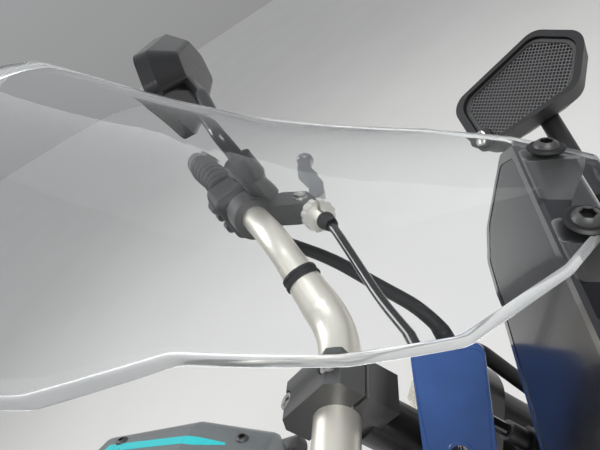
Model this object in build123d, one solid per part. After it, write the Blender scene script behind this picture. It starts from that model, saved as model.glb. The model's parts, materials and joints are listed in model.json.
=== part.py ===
from build123d import *
import math
import os

# Motorcycle cockpit: steering head, yokes, handlebar with its controls, mirrors, instrument,
# fly screen and the panels around them. Millimetres.
# +X is forward, +Y is the rider's left, +Z is up. The origin is the centre of the four bolts
# that hold the steering head casting to the frame's two beams.

# Steering axis
rake = 24.0                 # degrees from vertical, the top leaning back
head_axis_x = 78.0          # the axis at the height of the origin
head_above = 85.0           # head tube above the origin, along the axis
head_length = 180.0
head_outer_d = 66.0
head_bore_d = 48.0
collar = 22.0               # length of the tube's thicker ends
collar_step = 4.0
bearing_height = 16.0
stem_d = 30.0
running_gap = 0.05          # radial, at the stem and at the mirror pivots
clamp_gap = 0.05            # radial, where a clamp or seat holds a round piece
yoke_gap = 5.0              # between the head tube's ends and the yokes

# Steering head casting and its bolts
beam_spacing = 112.0        # between the two beam flanges' bolts, across the bike
bolt_rise = 76.0            # between the upper and lower bolts
frame_bolt_d = 11.0
flange_thick = 12.0
flange_width = 40.0
web_thick = 12.0

# Yokes and fork
yoke_thick = 26.0
lower_yoke_thick = 34.0
fork_offset = 28.0          # fork legs ahead of the steering axis
fork_spacing = 190.0
fork_top_d = 50.0
fork_low_d = 54.0
fork_bore_d = 43.2
fork_length = 430.0
fork_above = 6.0            # fork tube standing above the upper yoke
fork_wall = 9.0             # metal of the yoke round each tube
cap_hex = 33.0
cap_seat_d = 44.4          # the cap's thread in the fork tube
cap_depth = 28.0
cap_height = 13.0
yoke_slit = 3.0
nut_hex = 36.0
nut_height = 12.0

# Ignition lock, ahead of the stem on the upper yoke
lock_ahead = 74.0
lock_d = 30.0
lock_above = 16.0
lock_length = 62.0

# Handlebar
bar_ahead = 32.0            # bar centre ahead of the steering axis
bar_height = 95.0           # bar centre above the upper yoke
bar_d = 22.2
bar_middle_d = 28.6
bar_neck = 96.0             # half of the straight middle, to the first bend
taper_from = 24.0           # along the rise, past the first bend's corner
taper_length = 44.0
bar_rise = 56.0
bar_end_rise = 60.0
bar_rise_back = 28.0
bar_rise_out = 160.0
bar_end_back = 150.0
bar_half_width = 370.0
bar_bend_r = 50.0
clamp_half = 42.0           # clamp centres from the middle
clamp_width = 28.0
clamp_depth = 56.0
clamp_cap_height = 25.0
clamp_split = 2.0

# Hand controls, measured inwards from the bar's end
grip_d = 33.0
grip_length = 122.0
grip_flange_d = 42.0
bar_weight_length = 24.0
switch_from = 127.0
switch_length = 42.0
perch_from = 174.0
perch_length = 24.0
lever_droop = 25.0          # degrees below the level
lever_thick = 11.0
lever_ball_d = 18.0
boss_d = 22.0
boss_length = 22.0
mirror_pin_d = 10.0
boss_ahead = 20.0
adjuster_d = 27.0
adjuster_length = 26.0
master_ahead = 18.0
master_end = 238.0
neck_in = 226.0
neck_up = 22.0
reservoir_d = 40.0
reservoir_height = 30.0
cable_d = 7.0
hose_d = 8.0
conduit_d = 11.0
stop_ahead = 100.0          # the cable's stop, from the steering axis and the head tube's top
stop_left = 14.0
stop_up = 40.0
hose_block_up = 6.0         # hose blocks' top above the lower yoke

# Key and its tag
ring_r = 11.0
ring_wire = 0.9
ring_lean = 30.0            # degrees ahead of the steering axis
ring_seat = 0.3
tag_length = 65.0
tag_width = 37.0
tag_thick = 3.5
tag_hole_d = 10.0
tag_seat = 2.4
tag_along = (0.29, 0.50, 0.81)      # from the ring towards the tag's far end
tag_across = (-0.93, 0.01, 0.33)

# Lever pivot, from the bar's line and its end
pivot_ahead = 40.0
pivot_in = 200.0
pivot_r = 9.0
lever_gap = 0.4
perch_end = pivot_in + 14
lever_path = (              # (ahead of the bar, inwards from its end)
    (40.0, 203.0), (60.0, 186.0), (74.0, 150.0), (80.0, 104.0), (96.0, 66.0))

# Mirrors
mirror_width = 150.0
mirror_height = 92.0
mirror_depth = 34.0
mirror_stalk_d = 13.0
glass_thick = 2.5
mirror_outline = (          # (outboard, up), as shares of half the width and half the height
    (-1.0, -0.30), (-0.67, -1.0), (0.64, -0.87), (1.0, -0.09), (0.80, 0.87), (-0.59, 1.0))

# Instrument, placed from the bar's centre
dash_ahead = 131.0
dash_above = 67.0
dash_tilt = 60.0            # face's slope from level
dash_width = 168.0
dash_height = 74.0
dash_depth = 26.0
dash_wall = 3.0
dash_corner = 14.0

# Fly screen, placed from the bar's centre
screen_thick = 4.0
screen_cross_r = 230.0      # curve across the bike
screen_low = (172.0, 108.0)         # (ahead, above) on the arc of its middle line
screen_mid = (80.0, 158.0)
screen_high = (-20.0, 252.0)
screen_outline = (          # (ahead of the bar, half width)
    (176.0, 13.0), (150.0, 42.0), (118.0, 65.0), (88.0, 72.0), (50.0, 76.0), (20.0, 92.0), (-14.0, 100.0),
    (-34.0, 66.0))
rail_apart = 24.0           # the screen's two rails, from the middle
rail_ahead = 160.0
rail_width = 12.0

# Panels
panel_thick = 3.0
panel_seam = 1.5            # shut line between the tank's panels
socket_d = 40.0
socket_left = 57.0
socket_up = 158.0
cover_rear = 158.0
cover_low = 140.0
cover_high = 226.0
cover_half = 112.0
tank_sections = (           # (behind the origin, half width, underside, shoulder, crown)
    (78.0, 96.0, 112.0, 138.0, 158.0),
    (140.0, 110.0, 100.0, 162.0, 188.0),
    (235.0, 116.0, 104.0, 172.0, 200.0))
tank_tuck = 12.0            # how far the flanks lean in at the underside
tank_shoulder_r = 12.0
tank_split = 66.0           # from the middle to the seams beside the centre panel
tank_step = 3.0             # centre panel standing above the side panels
tank_nose_r = 7.0
support_half = 104.0        # cross bar under the panels' fronts

# Stay, lamps and scoops
stay_rear = 188.0
stay_width = 36.0
stay_web = 10.0             # metal left between the stay's side pockets
stay_rim = 7.0
stay_hole_d = 20.0
stay_foot = ((84.0, 12.0), (150.0, 20.0), (222.0, 80.0), (226.0, 236.0))     # front edge, (ahead, above)
stay_spine = ((188.0, 222.0), (188.0, 104.0), (146.0, 66.0), (78.0, 68.0))   # rear edge, downwards
stay_holes = ((206.0, 112.0), (150.0, 43.0))
arm_d = 15.0                # tubes out to the side scoops
arm_up = 150.0
arm_knee = 118.0            # from the middle to the tubes' bend
lamp_back = 218.0
lamp_half = 60.0
lamp_up = 190.0
lamp_d = 76.0
scoop_up = 243.0
scoop_depth = 40.0
scoop_ahead = 194.0
scoop_left = 246.0
scoop_outline = (           # (ahead, outwards)
    (-52.0, -27.0), (30.0, -33.0), (55.0, 0.0), (30.0, 33.0), (-52.0, 27.0))
mesh_pitch = 9.0
mesh_bar = 1.6


head_top = Vector(head_axis_x - head_above * math.sin(math.radians(rake)), 0,
                  head_above * math.cos(math.radians(rake)))
axis_up = Vector(-math.sin(math.radians(rake)), 0, math.cos(math.radians(rake)))
axis_ahead = Vector(math.cos(math.radians(rake)), 0, math.sin(math.radians(rake)))

# Steering frame: x ahead of the axis, y left, z up the axis from the head tube's top
steer = Plane(origin=head_top, x_dir=axis_ahead, z_dir=axis_up)
yoke_bottom = yoke_gap
yoke_top = yoke_bottom + yoke_thick
lower_yoke_top = -head_length - yoke_gap
lower_yoke_bottom = lower_yoke_top - lower_yoke_thick
bar_up = yoke_top + bar_height
fork_half = fork_spacing / 2
fork_top = yoke_top + fork_above
fork_bottom = fork_top - fork_length
bar_centre = steer.from_local_coords(Vector(bar_ahead, 0, bar_up))

parts = {}


def add(name, shape):
    parts[name] = shape


def steered(shape):
    return steer.location * shape


def cylinder_at(radius, low, high, x=0.0, y=0.0):
    return Pos(x, y, low) * Cylinder(radius, high - low, align=(Align.CENTER, Align.CENTER, Align.MIN))


def box_between(low, high):
    size = [b - a for a, b in zip(low, high)]
    return Pos(*low) * Box(*size, align=(Align.MIN, Align.MIN, Align.MIN))


def turned(points):
    """A solid of revolution about Z from (radius, height) corners."""
    outline = Polyline(*[(r, 0, z) for r, z in points], close=True)
    return revolve(make_face(outline), axis=Axis.Z)


def mirrored(shape):
    return mirror(shape, about=Plane.XZ)


def tube_along(points, radii, diameter):
    """A round bar along straight runs with tangent arcs at the corners."""
    path = FilletPolyline(*points, radius=radii)
    section = Plane(origin=path @ 0, z_dir=path % 0) * Circle(diameter / 2)
    return sweep(section, path=path)


# Steering head casting: tube, two webs and two bolt flanges
def steering_head():
    tube = steered(cylinder_at(head_outer_d / 2, -head_length, 0))
    for low, high in ((-head_length, collar - head_length), (-collar, 0)):
        tube += steered(cylinder_at(head_outer_d / 2 + collar_step, low, high))
    half = beam_spacing / 2
    tall = bolt_rise + 3 * frame_bolt_d
    casting = tube
    for side in (1, -1):
        flange = Pos(flange_thick / 2, side * half, 0) * Box(flange_thick, flange_width, tall)
        flange = fillet(flange.edges().filter_by(Axis.X), 8)
        inner = side * (half - flange_width / 2 + 2)
        root = side * (head_outer_d / 2 - web_thick)
        plan = make_face(Polyline(
            (flange_thick - 2, inner, 0), (flange_thick - 2, inner + side * web_thick, 0),
            (head_axis_x, root + side * web_thick, 0), (head_axis_x, root, 0), close=True))
        web = extrude(Pos(0, 0, -tall / 2) * plan, tall)
        window = Pos(40, side * half, 0) * Rot(90, 0, 0) * Cylinder(15, 4 * web_thick)
        casting += flange + (web - window)
    casting -= steered(cylinder_at(head_bore_d / 2, -head_length, 0))
    for side in (1, -1):
        for level in (1, -1):
            casting -= Pos(0, side * half, level * bolt_rise / 2) * Rot(0, 90, 0) * Cylinder(
                frame_bolt_d / 2, 4 * flange_thick)
    return casting


def head_bearings():
    """Upper and lower bearing, each one ring with its dust lip."""
    rings = None
    inner = stem_d / 2 + running_gap
    outer = head_bore_d / 2 - clamp_gap
    for low, high in ((-head_length, bearing_height - head_length), (-bearing_height, 0)):
        ring = cylinder_at(outer, low, high) - cylinder_at(inner, low, high)
        rings = ring if rings is None else rings + ring
    return steered(rings)


def yoke(thickness, bore_d, boss_r):
    """A yoke's plan: stem boss hulled to each fork clamp, pocketed between them."""
    clamp_r = bore_d / 2 + fork_wall
    plan = None
    for side in (1, -1):
        edges = Curve() + [Edge.make_circle(boss_r), Edge.make_circle(
            clamp_r, Plane(origin=(fork_offset, side * fork_half, 0)))]
        arm = make_hull(edges.edges())
        plan = arm if plan is None else plan + arm
    body = extrude(plan, thickness)
    for side in (1, -1):
        centre = (fork_offset, side * fork_half)
        body -= Pos(*centre, 0) * Cylinder(bore_d / 2 + clamp_gap, 3 * thickness)
        slit = box_between((fork_offset - clamp_r - 3, side * fork_half - yoke_slit / 2, -1),
                           (fork_offset, side * fork_half + yoke_slit / 2, thickness + 1))
        body -= slit
        pocket = Pos(fork_offset * 0.42, side * fork_half * 0.44, thickness) * Box(24, 22, 14)
        body -= fillet(pocket.edges().filter_by(Axis.Z), 7)
    return body


def top_yoke():
    body = Pos(0, 0, yoke_bottom) * yoke(yoke_thick, fork_top_d, 30)
    for side in (1, -1):
        body += cylinder_at(19, yoke_bottom, yoke_top, bar_ahead, side * clamp_half)
    body += box_between((bar_ahead - 19, -clamp_half, yoke_bottom), (bar_ahead + 19, clamp_half, yoke_top))
    body += box_between((0, -17, yoke_bottom), (lock_ahead, 17, yoke_top - 6))
    body -= cylinder_at(lock_d / 2 + clamp_gap, yoke_bottom - 1, yoke_top + 1, lock_ahead, 0)
    body -= cylinder_at(stem_d / 2 + clamp_gap, yoke_bottom - 1, yoke_top + 1)
    return steered(body)


def lower_yoke():
    """Lower yoke with the stem pressed in, threaded end above the upper yoke."""
    body = Pos(0, 0, lower_yoke_bottom) * yoke(lower_yoke_thick, fork_low_d, 34)
    body += cylinder_at(stem_d / 2, lower_yoke_bottom, yoke_top + nut_height + 4)
    body += hose_blocks()
    for side in (1, -1):
        body -= cylinder_at(fork_low_d / 2 + clamp_gap, lower_yoke_bottom - 1, lower_yoke_top + 20,
                            fork_offset, side * fork_half)
    return steered(body)


def stem_nut():
    body = extrude(RegularPolygon(nut_hex / 2, 6, major_radius=False), nut_height)
    body += Cylinder(nut_hex / 2 + 3, 3, align=(Align.CENTER, Align.CENTER, Align.MIN))
    body -= Cylinder(stem_d / 2 + clamp_gap, 4 * nut_height)
    return steered(Pos(0, 0, yoke_top) * body)


def fork_tube(side):
    """Outer fork tube, open at the bottom for the slider, thicker at the lower clamp and the seal."""
    low_r, top_r, bore_r, cap_r = fork_low_d / 2, fork_top_d / 2, fork_bore_d / 2, cap_seat_d / 2
    body = turned([
        (bore_r, fork_bottom), (low_r + 2, fork_bottom), (low_r + 2, fork_bottom + 24),
        (low_r, fork_bottom + 30),
        (low_r, lower_yoke_top + 14), (top_r, lower_yoke_top + 44), (top_r, fork_top), (cap_r, fork_top),
        (cap_r, fork_top - cap_depth), (bore_r, fork_top - cap_depth)])
    return steered(Pos(fork_offset, side * fork_half, 0) * body)


def fork_cap(side):
    """Hexagon cap with a recess and the damping screw, spigot down inside the tube."""
    body = Cylinder(fork_top_d / 2, 4, align=(Align.CENTER, Align.CENTER, Align.MIN))
    body += cylinder_at(cap_seat_d / 2 - clamp_gap, 1 - cap_depth, 0)
    hexagon = extrude(RegularPolygon(cap_hex / 2, 6, major_radius=False), cap_height)
    hexagon = chamfer(hexagon.faces().sort_by(Axis.Z)[-1].edges(), 1.5)
    body += hexagon
    body -= cylinder_at(9, 7, 20)
    body += cylinder_at(6, 2, 11)
    body -= box_between((-7, -0.8, 9.5), (7, 0.8, 12))
    return steered(Pos(fork_offset, side * fork_half, fork_top) * body)


# Handlebar
def bar_path():
    x, y, z = bar_centre
    points = []
    for side in (-1, 1):
        half = [(x - bar_end_back, side * bar_half_width, z + bar_end_rise),
                (x - bar_rise_back, side * bar_rise_out, z + bar_rise), (x, side * bar_neck, z)]
        points += half if side < 0 else half[::-1]
    return points


def handlebar():
    """Tapered bar: thick through the clamps and the lower bends, thin from the rise outwards."""
    points = [Vector(*p) for p in bar_path()]
    bar = tube_along(points, [bar_bend_r] * 4, bar_d)
    thick = points[2:4]
    for corner, upper in ((points[2], points[1]), (points[3], points[4])):
        rise = (upper - corner).normalized()
        start = corner + rise * taper_from
        cone = Cone(bar_middle_d / 2, bar_d / 2, taper_length, align=(Align.CENTER, Align.CENTER, Align.MIN))
        bar += Plane(origin=start, z_dir=rise).location * cone
        thick = [start] + thick if corner == points[2] else thick + [start]
    return bar + tube_along(thick, [bar_bend_r] * 2, bar_middle_d)


def clamp_profile(low, high, chamfer_size):
    width = clamp_depth / 2
    plan = make_face(Polyline(
        (-width, 0, low), (width, 0, low), (width, 0, high - chamfer_size), (width - chamfer_size, 0, high),
        (chamfer_size - width, 0, high), (-width, 0, high - chamfer_size), close=True))
    return extrude(plan, clamp_width / 2, both=True)


def bar_bore():
    return Rot(90, 0, 0) * Cylinder(bar_middle_d / 2 + clamp_gap, 4 * clamp_width)


def clamp_bolt_cut(low, radius):
    cuts = cylinder_at(radius, low, 60, 0.5 * (clamp_depth / 2 + bar_middle_d / 2), 0)
    return cuts + cylinder_at(radius, low, 60, -0.5 * (clamp_depth / 2 + bar_middle_d / 2), 0)


def bar_risers():
    """The two posts on the upper yoke, each with the lower half of its clamp."""
    posts = None
    for side in (1, -1):
        head = clamp_profile(-24, -clamp_split / 2, 0.5)
        post = cylinder_at(17, -bar_height, -20)
        foot = Pos(0, 0, -bar_height) * Cone(19, 17, 12, align=(Align.CENTER, Align.CENTER, Align.MIN))
        riser = head + post + foot - bar_bore()
        riser = Pos(bar_ahead, side * clamp_half, bar_up) * riser
        posts = riser if posts is None else posts + riser
    return steered(posts)


def clamp_caps():
    """The clamps' upper halves, chamfered, each with two counterbored bolt holes."""
    caps = None
    for side in (1, -1):
        cap = clamp_profile(clamp_split / 2, clamp_cap_height, 7) - bar_bore()
        cap -= clamp_bolt_cut(clamp_cap_height - 9, 6.2)
        cap = Pos(bar_ahead, side * clamp_half, bar_up) * cap
        caps = cap if caps is None else caps + cap
    return steered(caps)


def handle_plane():
    """Left handle: origin at the bar's end, z inboard along the bar, x ahead, y up."""
    end, corner = (Vector(*p) for p in bar_path()[::-1][:2])
    inboard = (corner - end).normalized()
    ahead = inboard.cross(Vector(0, 0, -1)).normalized()
    return Plane(origin=end, x_dir=ahead, z_dir=inboard)


handle = handle_plane()
control = handle.location * Rot(0, 0, -lever_droop)     # the same, rolled down to the lever's slope


def bar_cut(low, high):
    return cylinder_at(bar_d / 2 + clamp_gap, low, high)


def grip():
    """Rubber grip: a flange inboard and shallow rings along it."""
    radius, end = grip_d / 2, grip_length
    corners = [(0, -3), (radius - 2, -3), (radius, -1)]
    for k in range(7):
        z = 14 + 15 * k
        corners += [(radius, z - 2), (radius - 1, z - 1), (radius - 1, z + 1), (radius, z + 2)]
    corners += [(radius, end - 8), (grip_flange_d / 2, end - 3), (grip_flange_d / 2, end), (0, end)]
    return handle.location * (turned(corners) - bar_cut(-20, end + 5))


def bar_weight():
    """Bar-end weight, dished at its outer face."""
    radius, length = grip_d / 2 - 1, bar_weight_length
    body = turned([(0, -3 - length + 5), (5, -3 - length + 5), (9, -3 - length), (radius - 3, -3 - length),
                   (radius, -length), (radius, -6), (radius - 3, -3.2), (bar_d / 2 - 1, -3.2),
                   (bar_d / 2 - 1, -0.1), (0, -0.1)])
    return handle.location * body


def rounded_box(low, high, radius):
    body = box_between(low, high)
    return fillet(body.edges(), radius)


def switch_housing(with_rocker):
    """Switch cluster round the bar, buttons on the rider's face."""
    low, high = switch_from, switch_from + switch_length
    body = rounded_box((-21, -24, low), (20, 20, high), 7)
    body -= bar_cut(low - 5, high + 5)
    for x, y, w, h in ((-24, -17, 14, 9), (-24, -3, 12, 8), (-24, 8, 20, 6)):
        body += rounded_box((x, y, low + 14 - w / 2 + 6), (x + 7, y + h, low + 14 + w / 2 + 6), 2)
    if with_rocker:
        body += rounded_box((8, 16, low + 10), (16, 27, low + 30), 3)
    return handle.location * body


def switch_left():
    """Left cluster with the gland that its conduit comes out of."""
    gland = Rot(90, 0, 0) * Cylinder(conduit_d / 2 + 2.5, 12, align=(Align.CENTER, Align.CENTER, Align.MIN))
    body = switch_housing(True)
    body += handle.location * Pos(4, -22, switch_from + switch_length - 12) * gland
    return body - parts["harness"]


def perch():
    """Lever bracket: bar clamp, arm to the lever's pivot and the mirror's boss."""
    low, high = perch_from, perch_from + perch_length
    body = cylinder_at(bar_d / 2 + 7, low, high)
    arm = make_face(Polyline((8, 0, low), (pivot_ahead - 6, 0, low + 2), (pivot_ahead + 10, 0, pivot_in - 12),
                             (pivot_ahead + 10, 0, perch_end), (pivot_ahead - 8, 0, perch_end),
                             (8, 0, high), close=True))
    body += fillet(extrude(arm, 9, both=True).edges().filter_by(Axis.Y), 3)
    mouth = box_between((pivot_ahead - pivot_r - 4, -lever_thick / 2 - lever_gap, low - 30),
                        (pivot_ahead + 20, lever_thick / 2 + lever_gap, pivot_in + pivot_r + lever_gap))
    body -= mouth
    return body


def lever():
    """Blade lever with a ball end, pivoting in the perch's mouth."""
    points = [(x, 0, z) for x, z in lever_path]
    path = FilletPolyline(*points, radius=[16, 40, 40])
    section = Plane(origin=path @ 0, x_dir=(0, 1, 0), z_dir=path % 0) * RectangleRounded(lever_thick, 14, 3)
    blade = sweep(section, path=path)
    blade += Pos(*points[-1]) * Sphere(lever_ball_d / 2)
    blade += Pos(pivot_ahead, 0, pivot_in) * Rot(90, 0, 0) * Cylinder(pivot_r, lever_thick)
    return control * blade


def mirror_boss(low, high, radius):
    """A post on the perch that points up, square to the bar."""
    base = Rot(-90, 0, 0) * Cylinder(radius, high - low, align=(Align.CENTER, Align.CENTER, Align.MIN))
    return Pos(boss_ahead, low, perch_from + perch_length / 2) * base


def clutch_perch():
    body = control * perch() + handle.location * mirror_boss(4, 4 + boss_length, boss_d / 2)
    body -= handle.location * mirror_boss(8, 8 + boss_length, mirror_pin_d / 2 + running_gap)
    return body - handle.location * bar_cut(perch_from - 5, perch_from + perch_length + 5)


def clutch_adjuster():
    """Knurled adjuster wheel with its slotted collar, on the perch's inboard end."""
    low = perch_end
    body = cylinder_at(6, low, low + adjuster_length)
    body += cylinder_at(9, low, low + 4)
    wheel = cylinder_at(adjuster_d / 2, low + 8, low + 16)
    for k in range(12):
        spot = Rot(0, 0, 30 * k) * Pos(adjuster_d / 2 + 1, 0, low + 12)
        wheel -= spot * Cylinder(2, 10)
    body += wheel
    body -= box_between((-1.2, 0, low + 7), (1.2, 20, low + adjuster_length + 1))
    body -= cylinder_at(cable_d / 2 + clamp_gap, low + 10, low + adjuster_length + 1)
    return control * Pos(pivot_ahead + 4, 0, 0) * body


def brake_master():
    """Brake master cylinder on its clamp, with the reservoir's neck and the hose's banjo."""
    low, high = perch_from, perch_from + perch_length
    body = perch()
    body += cylinder_at(11, low - 2, master_end, master_ahead, -4)
    body += Pos(master_ahead, 0, neck_in) * Rot(-90, 0, 0) * Cylinder(
        9, neck_up + 4, align=(Align.CENTER, Align.CENTER, Align.MIN))
    body = control * body + handle.location * mirror_boss(4, 4 + boss_length, boss_d / 2)
    body -= handle.location * mirror_boss(8, 8 + boss_length, mirror_pin_d / 2 + running_gap)
    return mirrored(body - handle.location * bar_cut(low - 12, high + 30)) - brake_reservoir()


def reservoir_spot():
    """Centre of the reservoir's floor: above the master cylinder's neck, standing upright."""
    return Pos(*(control * Pos(master_ahead, neck_up, neck_in)).position)


def brake_reservoir():
    """Smoke-amber fluid pot."""
    radius, tall = reservoir_d / 2, reservoir_height
    body = turned([(0, 0), (radius - 6, 0), (radius - 2, 5), (radius, tall), (0, tall)])
    return mirrored(reservoir_spot() * body)


def reservoir_lid():
    radius, tall = reservoir_d / 2, reservoir_height
    body = cylinder_at(radius + 1.5, tall, tall + 8)
    body = chamfer(body.faces().sort_by(Axis.Z)[-1].edges(), 1.5)
    body += box_between((-radius * 0.55, -2.5, tall + 8), (radius * 0.55, 2.5, tall + 10.5))
    return mirrored(reservoir_spot() * body)


# Cable, hose and conduit that the steered parts hold from end to end
def cord_radii(points):
    """The largest arc that each corner's two runs leave room for."""
    corners = [Vector(*p) for p in points]
    radii = []
    for a, b, c in zip(corners, corners[1:], corners[2:]):
        turn = math.radians((b - a).get_angle(c - b))
        radii.append(0.45 * min((b - a).length, (c - b).length) / math.tan(turn / 2))
    return radii


def from_bar(points):
    return [(bar_centre.X + x, bar_centre.Y + y, bar_centre.Z + z) for x, y, z in points]


def in_steering(points):
    return [tuple(steer.from_local_coords(Vector(*p))) for p in points]


def held_cord(name, points, diameter):
    radii = cord_radii(points)
    tube = tube_along(points, radii, diameter)
    length = FilletPolyline(*points, radius=radii).length
    print(name, "length", round(length), "tightest arc", round(min(radii), 1),
          "volume ratio", round(tube.volume / (math.pi * diameter ** 2 / 4 * length), 4))
    return tube


def clutch_cable():
    """From inside the adjuster, across ahead of the bar, down to its stop on the upper yoke."""
    start = (control * Pos(pivot_ahead + 4, 0, perch_end + 10)).position
    along = handle.z_dir
    points = [tuple(start), tuple(start + along * 30)]
    points += from_bar([(25, 134, 22), (38, 98, 13), (56, 60, 8), (74, 24, -1)])
    points += in_steering([(stop_ahead, stop_left, stop_up + 42), (stop_ahead, stop_left, stop_up + 20)])
    return held_cord("clutch_cable", points, cable_d)


def cable_stop():
    """Bracket on the upper yoke's nose that holds the cable's threaded ferrule."""
    tab = box_between((lock_ahead + 17, stop_left - 9, stop_up), (stop_ahead + 9, stop_left + 9, stop_up + 4))
    tab = fillet(tab.edges().filter_by(Axis.Z).sort_by(Axis.X)[-2:], 6)
    leg = box_between((lock_ahead + 17, stop_left - 9, yoke_bottom + 2),
                      (lock_ahead + 21, stop_left + 9, stop_up + 4))
    body = tab + leg
    ferrule = cylinder_at(5.5, stop_up - 12, stop_up + 24, stop_ahead, stop_left)
    nut = extrude(RegularPolygon(7, 6, major_radius=False), 6)
    ferrule += Pos(stop_ahead, stop_left, stop_up + 4) * nut + Pos(stop_ahead, stop_left, stop_up - 6) * nut
    ferrule -= cylinder_at(cable_d / 2 + clamp_gap, stop_up + 20, stop_up + 30, stop_ahead, stop_left)
    return steered(body + ferrule)


def hose_route(side):
    """Down ahead of the fork leg to the block on the lower yoke."""
    front = fork_offset + fork_low_d / 2 + fork_wall + 7
    low = lower_yoke_top + hose_block_up
    return [(p[0], side * p[1], p[2]) for p in in_steering([
        (front + 6, fork_half + 3, yoke_top + 12), (front, fork_half, yoke_bottom - 30),
        (front + 1, fork_half - 2, -80), (front - 1, fork_half + 1, -130), (front, fork_half, low + 22),
        (front, fork_half, low)])]


def brake_hose():
    start = (control * Pos(master_ahead, -4, master_end)).position
    points = [start, start + handle.z_dir * 26]
    points = [(p.X, -p.Y, p.Z) for p in points] + from_bar([(30, -140, 14), (52, -116, -14), (62, -102, -50)])
    return held_cord("brake_hose", points + hose_route(-1), hose_d)


def harness():
    """Wiring conduit from the left switches to the lower yoke's clip."""
    start = handle.from_local_coords(Vector(4, -28, switch_from + switch_length - 12))
    points = [tuple(start), tuple(start - handle.y_dir * 18)]
    points += from_bar([(-18, 202, -12), (16, 166, -28), (46, 132, -36), (62, 106, -58)])
    return held_cord("harness", points + hose_route(1), conduit_d)


def hose_blocks():
    """Blocks on the lower yoke's front that take the hose and the conduit."""
    front = fork_offset + fork_low_d / 2 + fork_wall
    blocks = None
    for side in (1, -1):
        block = box_between((front - 5, side * fork_half - 9, lower_yoke_bottom + 4),
                            (front + 15, side * fork_half + 9, lower_yoke_top + hose_block_up))
        block = fillet(block.edges().filter_by(Axis.Z).sort_by(Axis.X)[-2:], 5)
        blocks = block if blocks is None else blocks + block
    return blocks


def ignition_lock():
    """Lock barrel through the upper yoke's nose, with the key's slot."""
    body = cylinder_at(lock_d / 2, yoke_top - lock_length, yoke_top + lock_above, lock_ahead)
    body += cylinder_at(lock_d / 2 + 4, yoke_top - lock_length, yoke_bottom - 2, lock_ahead)
    body = chamfer(body.edges().group_by(Axis.Z)[-1], 1.5)
    body -= cylinder_at(9, yoke_top + lock_above - 2, yoke_top + lock_above + 1, lock_ahead)
    body -= box_between((lock_ahead - 5, -1.3, yoke_top + lock_above - 14),
                        (lock_ahead + 5, 1.3, yoke_top + lock_above + 1))
    return steered(body)


def key_ring_base():
    """Frame at the ring's lowest point, in the key's hole, z towards the tag."""
    hole = yoke_top + lock_above + 21
    drop = 3 - ring_wire - ring_seat
    return Pos(lock_ahead, 0, hole - drop) * Rot(0, ring_lean, 0)


def key():
    """Key in the lock: blade, moulded head with a ring hole, split ring."""
    top = yoke_top + lock_above
    blade = box_between((lock_ahead - 4.6, -1.1, top - 13), (lock_ahead + 4.6, 1.1, top + 6))
    head = make_face(Polyline((-12, 0, 0), (12, 0, 0), (14, 0, 9), (9, 0, 21), (-9, 0, 21), (-14, 0, 9),
                              close=True))
    head = fillet(extrude(head, 3.2, both=True).edges().filter_by(Axis.Y), 3)
    head -= Pos(0, 0, 16) * Rot(90, 0, 0) * Cylinder(3, 20)
    ring = key_ring_base() * Pos(0, 0, ring_r) * Rot(0, 90, 0) * Torus(ring_r, ring_wire)
    return steered(blade + Pos(lock_ahead, 0, top + 5) * head + ring)


def key_tag():
    """Blank translucent tag on the key's ring, leaning up to the left."""
    along = Vector(*tag_along).normalized()
    wire = (steer.location * key_ring_base() * Pos(0, 0, 2 * ring_r)).position
    hole = wire - along * (tag_hole_d / 2 - ring_wire - tag_seat)
    centre = hole + along * (tag_length / 2 - 7)
    place = Plane(origin=centre, x_dir=-along, z_dir=along.cross(Vector(*tag_across)))
    plan = RectangleRounded(tag_length, tag_width, 6) - Pos(tag_length / 2 - 7, 0) * Circle(tag_hole_d / 2)
    return place.location * extrude(plan, tag_thick / 2, both=True)


# Mirrors
def mirror_arm():
    """Pin in the perch's boss, knuckle on it and the bent stalk up to the head."""
    top = 4 + boss_length
    body = handle.location * mirror_boss(9, top + 10, mirror_pin_d / 2)
    body += handle.location * mirror_boss(top + 0.4, top + 22, boss_d / 2 + 1)
    middle = perch_from + perch_length / 2
    points = [(boss_ahead, top + 12, middle), (boss_ahead + 1, top + 44, middle - 8), (32, 88, 118),
              (36, 94, 52)]
    stalk = tube_along(points, [14, 22], mirror_stalk_d)
    return body + handle.location * stalk


def mirror_frame():
    centre = handle.from_local_coords(Vector(22, 96, 14))
    return Plane(origin=centre, x_dir=(-0.13, 0.99, 0), z_dir=(-0.985, -0.13, 0.1))


def mirror_plan(shrink, depth):
    wide, tall = shrink * mirror_width / 2, shrink * mirror_height / 2
    points = [(x * wide, y * tall, depth) for x, y in mirror_outline]
    face = make_face(Polyline(*points, close=True))
    return fillet(face.vertices(), 17 * shrink)


def mirror_head():
    sections = ((1.0, 0), (0.97, -mirror_depth * 0.4), (0.62, -mirror_depth))       # (share, depth)
    shell = loft([mirror_plan(share, depth) for share, depth in sections], ruled=True)
    shell = fillet(shell.faces().sort_by(Axis.Z)[0].edges(), 6)
    shell -= extrude(mirror_plan(0.95, 1), -1 - glass_thick)
    return mirror_frame().location * shell - parts["mirror_arm_left"]


def mirror_glass():
    return mirror_frame().location * extrude(mirror_plan(0.945, -glass_thick), glass_thick - 0.4)


# Instrument
dash = Plane(origin=(bar_centre.X + dash_ahead, 0, bar_centre.Z + dash_above), x_dir=(0, -1, 0),
             z_dir=(-math.sin(math.radians(dash_tilt)), 0, math.cos(math.radians(dash_tilt))))


def dash_plan(inset):
    wide, tall = dash_width / 2 - inset, dash_height / 2 - inset
    cut = dash_corner
    face = make_face(Polyline(
        (-wide, cut - tall), (cut - wide, -tall), (wide - cut, -tall), (wide, cut - tall),
        (wide, tall - cut), (wide - 1.3 * cut, tall), (1.3 * cut - wide, tall), (-wide, tall - cut),
        close=True))
    return fillet(face.vertices(), 8)


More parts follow.
